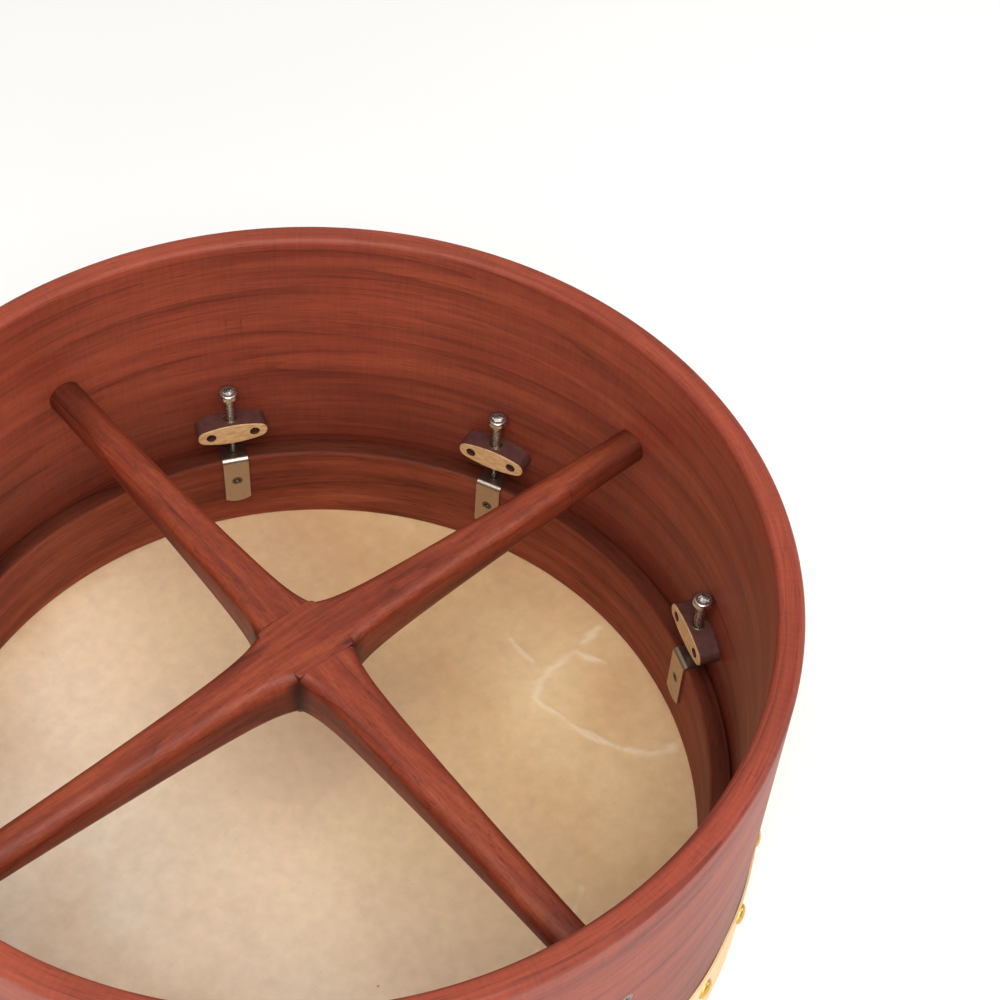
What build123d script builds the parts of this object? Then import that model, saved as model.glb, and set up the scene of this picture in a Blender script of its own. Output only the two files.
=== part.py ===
"""Bodhran: a 16 inch, internally tuned Irish frame drum, standing on its skin with the open back up.

Origin at the centre of the skin's outer face, +Z up towards the open back, millimetres.
The long crossbar lies along X. Every sub-part is a separate STEP file in parts/.
"""

import os
from math import asin, atan2, cos, exp, radians, sin, sqrt, tan

from build123d import *

# ---------------------------------------------------------------- driving dimensions
drum_height = 183.0
tuner_angles = [22.4, 64.5, 112.5, 157.5, 202.5, 247.5, 292.5, 337.0]  # laid out by eye, not quite even

shell_outer_radius = 203.2
shell_wall = 11.3
shell_bottom = 4.1
rim_round = 3.0
bearing_round = 3.0
small_round = 1.0

ring_gap = 0.7
ring_wall = 9.9
ring_bottom = 1.1
ring_height = 45.4
ring_foot_round = 3.0
ring_top_round = 2.0

skin_thickness = 1.0
skin_clearance = 0.05
skin_lap_top = 48.0

bar_height = 120.1
bar_skew = -1.4  # the cross bar's turn from square to the long one, in degrees
bar_end_width = 15.9
bar_mid_width = 30.0
bar_mid_thickness = 26.5
bar_flare_length = 10.0
bar_flare_width = 8.0
bar_mid_edge = 5.0
bar_end_edge = 7.5
bar_swell_power = 1.7
lap_margin = 0.6

lug_width = 35.2
lug_height = 12.7
lug_depth = 11.0
lug_centre_height = 66.4
lug_shoulder_width = 29.0
lug_shoulder_height = 8.6
lug_screw_spacing = 22.0

bolt_wall_distance = 5.2
bolt_radius = 2.45
bolt_foot_radius = 1.6
bolt_foot_length = 12.0
bolt_length = 39.4
bolt_head_radius = 4.8
bolt_head_height = 5.4
bolt_head_cone = 2.4
bolt_foot_taper = 0.9
bolt_socket_flats = 5.0
bolt_socket_depth = 3.2
bolt_running_gap = 0.07

insert_radius = 3.5
insert_length = 12.4

strap_width = 13.0
strap_thickness = 1.5
strap_leg_length = 31.0
strap_bend_radius = 1.2
strap_end_sagitta = 2.0
strap_screw_drop = 15.4
strap_seat_depth = 0.95

tack_count = 32
tack_height = 36.0
tack_head_radius = 4.8
tack_head_height = 2.4
tack_pin_radius = 0.8
tack_pin_length = 10.0
tack_point = 1.6

hole_gap = 0.03  # round a pin or a screw's shank
head_gap = 0.1  # round a screw's head
seat_gap = 0.05  # under a bolt's foot
foot_gap = 0.2  # round a bolt's foot
overcut = 1.0  # how far a cutting shape runs past what it cuts

# ---------------------------------------------------------------- sizes worked out
shell_inner_radius = shell_outer_radius - shell_wall
ring_outer_radius = shell_inner_radius - ring_gap
ring_inner_radius = ring_outer_radius - ring_wall
ring_top = ring_bottom + ring_height
strap_top = ring_top + strap_thickness
bolt_axis_radius = shell_inner_radius - bolt_wall_distance
bolt_tip = strap_top - strap_seat_depth + seat_gap
bolt_neck = bolt_tip + bolt_length
lug_face_radius = shell_inner_radius - lug_depth
long_bar_angles = [0, 180]
cross_bar_angles = [90 + bar_skew, 270 + bar_skew]
bar_angles = long_bar_angles + cross_bar_angles
tack_angles = [360 / tack_count * (i + 0.5) for i in range(tack_count)]


def seat_plane(angle, radius, height, across=0.0, facing="in"):
    """Plane that faces the drum's axis ("in") or away from it ("out"), moved sideways by across."""
    outward = Vector(cos(radians(angle)), sin(radians(angle)), 0)
    sideways = Vector(-sin(radians(angle)), cos(radians(angle)), 0)
    origin = outward * radius + sideways * across + Vector(0, 0, height)
    if facing == "in":
        return Plane(origin=origin, x_dir=sideways, z_dir=-outward)
    return Plane(origin=origin, x_dir=sideways, z_dir=outward)


def section_plane(seat):
    """Plane through a seat's axis, whose own y runs along the seat's normal."""
    return Plane(origin=seat.origin, x_dir=seat.x_dir, z_dir=-seat.y_dir)


def save(part, name):
    """Label a finished sub-part and write its STEP file."""
    part.label = name
    export_step(part, f"parts/{name}.step")
    print(f"{name:20s} {len(part.solids()):3d} solids {part.volume:12.1f} mm3")


# Wood screws: a 90 degree countersunk head with a cross recess, a plain shank and a pointed tip.
lug_screw = {"head": 2.4, "shank": 1.5, "length": 16.0, "recess": 3.0}
strap_screw = {"head": 2.6, "shank": 1.5, "length": 9.0, "recess": 3.2}
bar_screw = {"head": 3.6, "shank": 1.75, "length": 32.0, "recess": 4.2}
screw_tip = 3.0
screw_point = 0.2
recess_width = 0.8
recess_depth = 1.2


def wood_screws(seats, screw):
    """One screw on each seat plane: head flush with the plane, shank running against its normal."""
    with BuildPart() as screws:
        for seat in seats:
            with BuildSketch(section_plane(seat)) as profile:
                with BuildLine():
                    Polyline(
                        (0, 0),
                        (screw["head"], 0),
                        (screw["shank"], screw["shank"] - screw["head"]),
                        (screw["shank"], screw_tip - screw["length"]),
                        (screw_point, -screw["length"]),
                        (0, -screw["length"]),
                        close=True,
                    )
                make_face()
            revolve(profile.sketch, axis=Axis(seat.origin, seat.z_dir))
            with BuildSketch(seat) as cross:
                Rectangle(screw["recess"], recess_width)
                Rectangle(recess_width, screw["recess"])
            extrude(cross.sketch, amount=-recess_depth, mode=Mode.SUBTRACT)
    return screws.part


# Seats of every fastener, shared by the parts that they pass through.
lug_screw_sink = 3.2
strap_face_radius = sqrt(ring_inner_radius**2 - (strap_width / 2) ** 2) - strap_thickness - hole_gap
lap_radius = shell_outer_radius + skin_clearance


def lug_screw_seats(angle):
    """The two recessed seats in a lug's face."""
    depth = lug_face_radius + lug_screw_sink
    offsets = (-lug_screw_spacing / 2, lug_screw_spacing / 2)
    return [seat_plane(angle, depth, lug_centre_height, across=offset) for offset in offsets]


def strap_screw_seat(angle):
    """The seat in a strap's front leg."""
    return seat_plane(angle, strap_face_radius + head_gap, strap_top - strap_screw_drop)


bar_screw_seats = [
    seat_plane(a, shell_outer_radius - head_gap, bar_height, facing="out") for a in bar_angles
]
tack_seats = [
    seat_plane(a, lap_radius + skin_thickness + hole_gap, tack_height, facing="out") for a in tack_angles
]

os.makedirs("parts", exist_ok=True)

# ---------------------------------------------------------------- shell
with BuildPart() as shell:
    with BuildSketch(Plane.XZ):
        with Locations(((shell_inner_radius + shell_outer_radius) / 2, shell_bottom)):
            Rectangle(shell_wall, drum_height - shell_bottom, align=(Align.CENTER, Align.MIN))
    revolve(axis=Axis.Z)
    fillet(shell.edges().group_by(Axis.Z)[-1], rim_round)
    outer_foot = shell.edges().group_by(Axis.Z)[0].sort_by(SortBy.RADIUS)[-1]
    fillet(outer_foot, bearing_round)
    inner_foot = shell.edges().group_by(Axis.Z)[0].sort_by(SortBy.RADIUS)[0]
    fillet(inner_foot, small_round)
    for angle in tuner_angles:
        with Locations(*lug_screw_seats(angle)):
            Hole(lug_screw["shank"] + hole_gap, lug_screw["length"] + hole_gap)
    with Locations(*[seat_plane(angle, shell_outer_radius, bar_height, facing="out") for angle in bar_angles]):
        CounterSinkHole(
            bar_screw["shank"] + hole_gap,
            bar_screw["head"] + head_gap + hole_gap,
            depth=shell_wall + overcut,
            counter_sink_angle=90,
        )
    with Locations(*tack_seats):
        Hole(tack_pin_radius + hole_gap, tack_pin_length + hole_gap)
save(shell.part, "shell")

# ---------------------------------------------------------------- skin
# Its upper face follows the ring's rounded foot, runs straight up to the shell's rounded
# lower edge, touching both, and laps up the outside of the shell.
foot_centre = Vector(ring_outer_radius - ring_foot_round, ring_bottom + ring_foot_round)
edge_centre = Vector(shell_outer_radius - bearing_round, shell_bottom + bearing_round)
foot_bend = ring_foot_round + ring_bottom - skin_thickness
edge_bend = bearing_round + skin_clearance
reach = (edge_centre - foot_centre).length
lean = atan2(edge_centre.Y - foot_centre.Y, edge_centre.X - foot_centre.X) + asin((foot_bend - edge_bend) / reach)
touch = foot_centre + Vector(sin(lean), -cos(lean)) * foot_bend
foot_corner = touch.X - (touch.Y - skin_thickness) / tan(lean)
edge_corner = touch.Y + (lap_radius - touch.X) * tan(lean)

with BuildPart() as head:
    with BuildSketch(Plane.XZ):
        with BuildLine():
            FilletPolyline(
                (0, 0),
                (foot_corner + skin_thickness * tan(lean / 2), 0),
                (lap_radius + skin_thickness, edge_corner - skin_thickness * tan((radians(90) - lean) / 2)),
                (lap_radius + skin_thickness, skin_lap_top),
                (lap_radius, skin_lap_top),
                (lap_radius, edge_corner),
                (foot_corner, skin_thickness),
                (0, skin_thickness),
                radius=[0, foot_bend + skin_thickness, edge_bend + skin_thickness, 0, 0, edge_bend, foot_bend, 0],
                close=True,
            )
        make_face()
    revolve(axis=Axis.Z)
    with Locations(*tack_seats):
        Hole(tack_pin_radius + hole_gap, 2 * skin_thickness + overcut)
save(head.part, "head")

# ---------------------------------------------------------------- tacks
with BuildPart() as head_tacks:
    for seat in tack_seats:
        with BuildSketch(section_plane(seat)) as profile:
            with BuildLine():
                Line((0, tack_head_height), (0, -tack_pin_length))
                Line((0, -tack_pin_length), (tack_pin_radius, tack_point - tack_pin_length))
                Line((tack_pin_radius, tack_point - tack_pin_length), (tack_pin_radius, 0))
                Line((tack_pin_radius, 0), (tack_head_radius, 0))
                TangentArc((0, tack_head_height), (tack_head_radius, 0), tangent=(1, 0))
            make_face()
        revolve(profile.sketch, axis=Axis(seat.origin, seat.z_dir))
save(head_tacks.part, "head_tacks")

# ---------------------------------------------------------------- tuning ring
with BuildPart() as tuning_ring:
    with BuildSketch(Plane.XZ):
        with Locations(((ring_inner_radius + ring_outer_radius) / 2, ring_bottom)):
            Rectangle(ring_wall, ring_height, align=(Align.CENTER, Align.MIN))
    revolve(axis=Axis.Z)
    outer_top = tuning_ring.edges().group_by(Axis.Z)[-1].sort_by(SortBy.RADIUS)[-1]
    fillet(outer_top, small_round)
    inner_top = tuning_ring.edges().group_by(Axis.Z)[-1].sort_by(SortBy.RADIUS)[0]
    fillet(inner_top, ring_top_round)
    outer_foot = tuning_ring.edges().group_by(Axis.Z)[0].sort_by(SortBy.RADIUS)[-1]
    fillet(outer_foot, ring_foot_round)
    inner_foot = tuning_ring.edges().group_by(Axis.Z)[0].sort_by(SortBy.RADIUS)[0]
    fillet(inner_foot, small_round)
    with Locations(*[strap_screw_seat(angle) for angle in tuner_angles]):
        Hole(strap_screw["shank"] + hole_gap, strap_screw["length"] + hole_gap)
save(tuning_ring.part, "tuning_ring")


# ---------------------------------------------------------------- crossbars
bar_taper_start = bar_mid_width / 2
bar_taper_end = shell_inner_radius + overcut
bar_station_count = 16
bar_stations = [
    bar_taper_start + (bar_taper_end - bar_taper_start) * (i / (bar_station_count - 1)) ** 2
    for i in range(bar_station_count)
]
lap_half_width = bar_mid_width / 2 + lap_margin


def bar_section(distance):
    """Width, thickness and edge radius of a crossbar at a distance from the drum's axis."""
    along = (distance - bar_taper_start) / (bar_taper_end - bar_taper_start)
    swell = (1 - along) ** bar_swell_power
    flare = bar_flare_width * exp(-(distance - bar_taper_start) / bar_flare_length)
    width = bar_end_width + (bar_mid_width - bar_flare_width - bar_end_width) * swell + flare
    thickness = bar_end_width + (bar_mid_thickness - bar_end_width) * swell
    edge = bar_mid_edge + (bar_end_edge - bar_mid_edge) * sqrt(along)
    return width, thickness, edge


def whole_bar(base):
    """A full crossbar square to its base plane: a square-shouldered middle and two tapering, rounding arms."""
    with BuildPart() as bar:
        with BuildSketch(base.offset(-bar_taper_start)):
            with Locations((0, bar_height)):
                RectangleRounded(*bar_section(bar_taper_start))
        extrude(amount=2 * bar_taper_start)
        for side in (1, -1):
            for distance in bar_stations:
                with BuildSketch(base.offset(side * distance)):
                    with Locations((0, bar_height)):
                        RectangleRounded(*bar_section(distance))
            loft(ruled=True)
        with BuildSketch(Plane.XY):
            Circle(shell_inner_radius - hole_gap)
        extrude(amount=drum_height, mode=Mode.INTERSECT)
    return bar.part


def lap_block(half):
    """The upper or lower half of the square crossing that the half-lap joint shares out."""
    with BuildPart() as block:
        low = bar_height if half == "upper" else bar_height - bar_mid_thickness
        with BuildSketch(Plane.XY.offset(low)):
            Rectangle(2 * lap_half_width, 2 * lap_half_width)
        extrude(amount=bar_mid_thickness)
    return block.part


def lap_share(bar, half):
    """What a bar holds of one half of the crossing."""
    with BuildPart() as share:
        add(bar)
        add(lap_block(half), mode=Mode.INTERSECT)
    return share.part


def lapped_bar(own, other, kept, given, angles):
    """A crossbar that keeps one half of the crossing, gives up the other, and has its end holes."""
    filling = lap_share(other, kept)
    with BuildPart() as bar:
        add(own)
        add(lap_block(given), mode=Mode.SUBTRACT)
        add(filling)
        with Locations(*[seat_plane(a, shell_inner_radius, bar_height, facing="out") for a in angles]):
            Hole(bar_screw["shank"] + hole_gap, bar_screw["length"] - shell_wall + 10 * hole_gap)
    return bar.part


bar_along_x = whole_bar(Plane.YZ)
bar_along_y = whole_bar(Plane.XZ).rotate(Axis.Z, bar_skew)
crossbar_long = lapped_bar(bar_along_x, bar_along_y, "upper", "lower", long_bar_angles)
save(crossbar_long, "crossbar_long")
crossbar_cross = lapped_bar(bar_along_y, bar_along_x, "lower", "upper", cross_bar_angles)
save(crossbar_cross, "crossbar_cross")
save(wood_screws(bar_screw_seats, bar_screw), "crossbar_screws")

# ---------------------------------------------------------------- one tuner, made on the +X side
# Lug: an oval hardwood block with gently crowned long edges, round ends and a curved back.
shoulder_x = lug_shoulder_width / 2
shoulder_y = lug_shoulder_height / 2
edge_chamfer = 0.4
small_chamfer = 0.3

with BuildPart() as lug_block:
    with BuildSketch(seat_plane(0, lug_face_radius, lug_centre_height, facing="out")):
        with BuildLine():
            ThreePointArc((-shoulder_x, shoulder_y), (0, lug_height / 2), (shoulder_x, shoulder_y))
            ThreePointArc((shoulder_x, shoulder_y), (lug_width / 2, 0), (shoulder_x, -shoulder_y))
            ThreePointArc((shoulder_x, -shoulder_y), (0, -lug_height / 2), (-shoulder_x, -shoulder_y))
            ThreePointArc((-shoulder_x, -shoulder_y), (-lug_width / 2, 0), (-shoulder_x, shoulder_y))
        make_face()
    extrude(amount=lug_depth + overcut)
    chamfer(lug_block.faces().sort_by(Axis.X)[0].edges(), edge_chamfer)
    with BuildSketch(Plane.XY.offset(lug_centre_height - lug_height)):
        Circle(shell_inner_radius - hole_gap)
    extrude(amount=2 * lug_height, mode=Mode.INTERSECT)
    with Locations(*lug_screw_seats(0)):
        CounterSinkHole(
            lug_screw["shank"] + head_gap,
            lug_screw["head"] + head_gap,
            depth=lug_depth,
            counter_sink_angle=90,
        )
    for seat in lug_screw_seats(0):
        with BuildSketch(seat):
            Circle(lug_screw["head"] + head_gap)
        extrude(amount=lug_screw_sink + overcut, mode=Mode.SUBTRACT)
    with Locations((bolt_axis_radius, 0, lug_centre_height + lug_height)):
        Hole(insert_radius + hole_gap, 2 * lug_height)

# Threaded sleeve in the lug. The thread itself is left out of both sleeve and bolt.
with BuildPart() as lug_insert:
    with BuildSketch(Plane.XY.offset(lug_centre_height - insert_length / 2)):
        with Locations((bolt_axis_radius, 0)):
            Circle(insert_radius)
            Circle(bolt_radius + bolt_running_gap, mode=Mode.SUBTRACT)
    extrude(amount=insert_length)
    chamfer(lug_insert.edges().filter_by(GeomType.CIRCLE), small_chamfer)

# Bolt: socket head with a tapered underside, threaded shank, turned-down foot.
with BuildPart() as tuning_bolt:
    with BuildSketch(Plane.XZ):
        with BuildLine():
            Polyline(
                (bolt_axis_radius, bolt_tip),
                (bolt_axis_radius + bolt_foot_radius - small_chamfer, bolt_tip),
                (bolt_axis_radius + bolt_foot_radius, bolt_tip + small_chamfer),
                (bolt_axis_radius + bolt_foot_radius, bolt_tip + bolt_foot_length),
                (bolt_axis_radius + bolt_radius, bolt_tip + bolt_foot_length + bolt_foot_taper),
                (bolt_axis_radius + bolt_radius, bolt_neck),
                (bolt_axis_radius + bolt_head_radius, bolt_neck + bolt_head_cone),
                (bolt_axis_radius + bolt_head_radius, bolt_neck + bolt_head_height),
                (bolt_axis_radius, bolt_neck + bolt_head_height),
                close=True,
            )
        make_face()
    revolve(axis=Axis((bolt_axis_radius, 0, 0), (0, 0, 1)))
    chamfer(tuning_bolt.faces().sort_by(Axis.Z)[-1].edges(), edge_chamfer)
    with BuildSketch(Plane.XY.offset(bolt_neck + bolt_head_height)):
        with Locations((bolt_axis_radius, 0)):
            RegularPolygon(bolt_socket_flats / 2, 6, major_radius=False)
    extrude(amount=-bolt_socket_depth, mode=Mode.SUBTRACT)

# Strap: flat steel bent over the ring's top edge, with an arc at the end of its long front leg.
strap_back = ring_outer_radius - 0.9  # short of the ring's outer edge, clear of the shell
strap_foot = strap_top - strap_leg_length
strap_end_radius = ((strap_width / 2) ** 2 + strap_end_sagitta**2) / (2 * strap_end_sagitta)

with BuildPart() as ring_bracket:
    with BuildSketch(Plane.XZ):
        with BuildLine():
            strap_line = FilletPolyline(
                (strap_back, strap_top),
                (strap_face_radius, strap_top),
                (strap_face_radius, strap_foot),
                radius=strap_bend_radius + strap_thickness,
            )
            offset(strap_line, amount=strap_thickness, side=Side.LEFT)
        make_face()
    extrude(amount=strap_width / 2, both=True)
    with BuildSketch(Plane.YZ.offset(strap_face_radius - overcut)):
        with Locations((0, strap_foot + strap_end_radius)):
            Circle(strap_end_radius)
        with Locations((0, strap_foot + strap_end_radius)):
            Rectangle(strap_width, 2 * strap_leg_length, align=(Align.CENTER, Align.MIN))
    extrude(amount=strap_back - strap_face_radius + 2 * overcut, mode=Mode.INTERSECT)
    with Locations(strap_screw_seat(0)):
        CounterSinkHole(
            strap_screw["shank"] + hole_gap,
            strap_screw["head"] + head_gap,
            depth=strap_thickness + overcut,
            counter_sink_angle=90,
        )
    with Locations((bolt_axis_radius, 0, strap_top)):
        Hole(bolt_foot_radius + foot_gap, strap_seat_depth)

lug_screw_pair = wood_screws(lug_screw_seats(0), lug_screw)
strap_screw_single = wood_screws([strap_screw_seat(0)], strap_screw)

# ---------------------------------------------------------------- the tuners all round
tuner_parts = {
    "lug_block": lug_block.part,
    "lug_insert": lug_insert.part,
    "lug_screws": lug_screw_pair,
    "tuning_bolt": tuning_bolt.part,
    "ring_bracket": ring_bracket.part,
    "bracket_screw": strap_screw_single,
}
for name, part in tuner_parts.items():
    for number, angle in enumerate(tuner_angles, start=1):
        save(part.rotate(Axis.Z, angle), f"{name}_{number}")
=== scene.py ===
# %% [markdown]
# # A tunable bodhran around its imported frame
# A bodhran is an Irish frame drum: a steamed wooden hoop with a goatskin stretched over one side.
# This one tunes from inside. Eight bolts run through small wooden lugs on the hoop's wall and push
# an inner ring against the skin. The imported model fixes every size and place, so this script only
# adds looks: finer surfaces, wood grain, skin and metal, a floor, soft light and a camera.

# %% Load the frame
from math import atan2, cos, hypot, pi, radians, sin, tan

import bpy
import numpy as np
from mathutils import Matrix, Vector


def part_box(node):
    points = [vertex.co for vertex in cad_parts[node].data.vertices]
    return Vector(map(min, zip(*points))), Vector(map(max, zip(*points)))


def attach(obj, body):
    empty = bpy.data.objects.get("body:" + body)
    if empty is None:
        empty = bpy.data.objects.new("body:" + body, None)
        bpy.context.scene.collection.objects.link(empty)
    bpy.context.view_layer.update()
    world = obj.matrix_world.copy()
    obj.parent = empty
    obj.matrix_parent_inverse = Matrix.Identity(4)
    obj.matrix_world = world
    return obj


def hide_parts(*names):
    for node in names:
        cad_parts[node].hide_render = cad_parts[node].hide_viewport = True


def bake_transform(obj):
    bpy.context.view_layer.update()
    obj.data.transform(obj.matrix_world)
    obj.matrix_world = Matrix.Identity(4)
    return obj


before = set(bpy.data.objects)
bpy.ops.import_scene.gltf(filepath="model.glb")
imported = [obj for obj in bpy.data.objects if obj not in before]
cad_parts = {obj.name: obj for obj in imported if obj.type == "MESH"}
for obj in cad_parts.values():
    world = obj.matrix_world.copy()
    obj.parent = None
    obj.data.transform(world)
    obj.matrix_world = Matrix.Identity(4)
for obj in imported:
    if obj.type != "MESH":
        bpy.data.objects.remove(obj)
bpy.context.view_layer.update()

# %% [markdown]
# ## Camera
# The camera looks down into the open back of the drum from about arm's length. A camera in Blender
# looks along its own -Z axis, so it is turned in three steps: roll about its line of sight, tilt up
# from straight down, then turn to its heading about the vertical.

# %% Place the camera
camera_reach = 0.500
camera_height = 0.8107
camera_side = radians(35.36)
camera_heading = radians(44.30)
camera_tilt = radians(49.56)
camera_roll = radians(3.95)
camera_lens = 71.5

camera = bpy.data.objects.new("camera", bpy.data.cameras.new("camera"))
camera.data.lens = camera_lens
turn = Matrix.Rotation(-camera_heading, 4, "Z") @ Matrix.Rotation(pi / 2 - camera_tilt, 4, "X")
turn = turn @ Matrix.Rotation(camera_roll, 4, "Z")
stand = Vector((-camera_reach * sin(camera_side), -camera_reach * cos(camera_side), camera_height))
camera.matrix_world = Matrix.Translation(stand) @ turn
bpy.context.scene.collection.objects.link(camera)
bpy.context.scene.camera = camera
print("camera stands at", [round(c, 3) for c in stand])

# %% [markdown]
# ## Helpers for materials
# A material in Blender is a small graph of nodes. One helper adds a node, sets its properties, and
# fills its inputs: a socket given as a value is linked, anything else is stored. Colours are written
# as the hex values a painter would read off a chart, and turned to the linear light that Cycles uses.

# %% Colour and node helpers
MM = 0.001


def tone(hex_text):
    """Linear RGBA of an sRGB hex colour: each channel c becomes ((c + 0.055) / 1.055) ** 2.4."""
    channels = np.array([int(hex_text[i : i + 2], 16) for i in (1, 3, 5)]) / 255
    linear = np.where(channels <= 0.04045, channels / 12.92, ((channels + 0.055) / 1.055) ** 2.4)
    return (*linear.tolist(), 1.0)


def add_node(tree, kind, inputs=None, stops=None, **settings):
    """Add one node. Inputs are linked or stored, stops fill a colour ramp, settings are properties."""
    node = tree.nodes.new(kind)
    for name, value in settings.items():
        setattr(node, name, value)
    for key, value in (inputs or {}).items():
        if isinstance(value, bpy.types.NodeSocket):
            tree.links.new(value, node.inputs[key])
        else:
            node.inputs[key].default_value = value
    for number, (place, colour) in enumerate(stops or []):
        ramp = node.color_ramp.elements
        stop = ramp[number] if number < 2 else ramp.new(place)
        stop.position = place
        stop.color = tone(colour)
    return node


def new_material(name, values):
    """A material with one Principled shader whose uniform values are set on its own sockets."""
    material = bpy.data.materials.new(name)
    material.use_nodes = True
    shader = material.node_tree.nodes["Principled BSDF"]
    for key, value in values.items():
        shader.inputs[key].default_value = value
    return material, material.node_tree, shader


print("mid grey in linear light:", round(tone("#808080")[0], 3))

# %% [markdown]
# ## Stained wood
# The hoop, the inner ring and the bars are a close-grained hardwood, stained red-brown and oiled.
# Stain sinks deepest into open grain, so the grain lines are the darkest part. A solid wood texture
# is a noise squeezed across the grain and stretched along it, which a Mapping node does by scaling
# the object's own coordinates. Round a hoop the same trick works without a seam, because x and y are
# stretched alike and z is across the grain. At the rim the board turns over, so the distance from
# the axis is added to z, and the grain runs on over the edge.

# %% Direction of the grain
def along_the_grain(tree, place, stretch, bent):
    """Object coordinates times stretch, and on a bent board z also grows with the reach from the axis."""
    grain = add_node(tree, "ShaderNodeMapping", {"Vector": place.outputs["Object"], "Scale": stretch})
    if not bent:
        return grain.outputs["Vector"]
    level = add_node(
        tree,
        "ShaderNodeVectorMath",
        {0: place.outputs["Object"], 1: (1.0, 1.0, 0.0)},
        operation="MULTIPLY",
    )
    reach = add_node(tree, "ShaderNodeVectorMath", {0: level.outputs["Vector"]}, operation="LENGTH")
    rise = add_node(tree, "ShaderNodeCombineXYZ", {"Z": reach.outputs["Value"]})
    lifted = add_node(
        tree,
        "ShaderNodeVectorMath",
        {0: grain.outputs["Vector"], 1: rise.outputs["Vector"]},
        operation="ADD",
    )
    return lifted.outputs["Vector"]


print("grain runs round a bent board and along a straight one")

# %% [markdown]
# Three things make the figure of the wood. Soft bands are the stain's slow changes. Growth rings are
# level lines of a slow noise, like the contours of a map: each darkens to a thin late line and then
# starts again. Fibres are as fine as hair, and are drawn a little coarser so that they show.

# %% Bands, growth rings and fibres
RING_SPREAD = 30 * MM
FIBRE = 0.55 * MM


def figure(tree, along, tones, rings, band):
    """The wood's colour, from its four tones, and the height of its fibres."""
    line, dark, middle, light = tones
    bands = add_node(
        tree,
        "ShaderNodeTexNoise",
        {"Vector": along, "Scale": 1 / (band * MM), "Detail": 6.0, "Roughness": 0.66, "Distortion": 0.3},
    )
    banded = add_node(
        tree,
        "ShaderNodeValToRGB",
        {"Fac": bands.outputs["Fac"]},
        stops=[(0.30, dark), (0.72, light), (0.50, middle)],
    )

    slow = add_node(
        tree,
        "ShaderNodeTexNoise",
        {"Vector": along, "Scale": 1 / RING_SPREAD, "Detail": 2.0, "Roughness": 0.4, "Distortion": 0.3},
    )
    count = add_node(tree, "ShaderNodeMath", {0: slow.outputs["Fac"], 1: rings}, operation="MULTIPLY")
    ring = add_node(tree, "ShaderNodeMath", {0: count.outputs[0]}, operation="FRACT")
    late = add_node(tree, "ShaderNodeMapRange", {0: ring.outputs[0], 1: 0.45, 2: 1.0, 3: 0.0, 4: 1.0})
    late_line = add_node(tree, "ShaderNodeMath", {0: late.outputs[0], 1: 3.0}, operation="POWER")
    # The lines fade where the bands are light, so that they come and go.
    veil = add_node(
        tree, "ShaderNodeMapRange", {0: bands.outputs["Fac"], 1: 0.38, 2: 0.62, 3: 0.6, 4: 0.1}
    )
    ringed = add_node(
        tree, "ShaderNodeMath", {0: late_line.outputs[0], 1: veil.outputs[0]}, operation="MULTIPLY"
    )

    # The deepest fibres are open pores, where stain sits.
    fibres = add_node(
        tree, "ShaderNodeTexNoise", {"Vector": along, "Scale": 1 / FIBRE, "Detail": 3.0, "Roughness": 0.6}
    )
    pores = add_node(
        tree, "ShaderNodeMapRange", {0: fibres.outputs["Fac"], 1: 0.40, 2: 0.28, 3: 0.0, 4: 0.6}
    )
    dark_part = add_node(
        tree, "ShaderNodeMath", {0: ringed.outputs[0], 1: pores.outputs[0]}, operation="MAXIMUM"
    )
    lined = add_node(
        tree,
        "ShaderNodeMix",
        {0: dark_part.outputs[0], 6: banded.outputs["Color"], 7: tone(line)},
        data_type="RGBA",
    )
    return lined.outputs[2], fibres.outputs["Fac"]


print("growth rings repeat over", round(RING_SPREAD / MM), "mm, fibres over", round(FIBRE / MM, 2), "mm")

# %% [markdown]
# Stain takes unevenly: blotches some centimetres across are lighter or darker, and some are redder.
# Steaming and bending leave faint ribs across the grain and a few short dark checks. Ribs follow the
# bent surface, so they read its UV map, which is in metres round and along the board.

# %% Uneven stain, ribs and checks
BLOTCH = 60 * MM
RIB = 1.6 * MM


def unevenly_stained(tree, place, colour, fibres, ruddy):
    """The colour with its red blotches, and the shade that fibres and blotches together leave."""
    blotches = add_node(
        tree, "ShaderNodeTexNoise", {"Vector": place.outputs["Object"], "Scale": 1 / BLOTCH, "Detail": 4.0}
    )
    redder = add_node(
        tree, "ShaderNodeMapRange", {0: blotches.outputs["Fac"], 1: 0.42, 2: 0.62, 3: 0.0, 4: ruddy}
    )
    reddened = add_node(
        tree,
        "ShaderNodeMix",
        {0: redder.outputs[0], 6: colour, 7: tone("#F0D2D4")},
        data_type="RGBA",
        blend_type="MULTIPLY",
    )
    fleck = add_node(tree, "ShaderNodeMapRange", {0: fibres, 1: 0.3, 2: 0.7, 3: 0.86, 4: 1.14})
    cloud = add_node(
        tree, "ShaderNodeMapRange", {0: blotches.outputs["Color"], 1: 0.3, 2: 0.7, 3: 0.84, 4: 1.16}
    )
    shade = add_node(
        tree, "ShaderNodeMath", {0: fleck.outputs[0], 1: cloud.outputs[0]}, operation="MULTIPLY"
    )
    return reddened.outputs[2], shade


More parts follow.
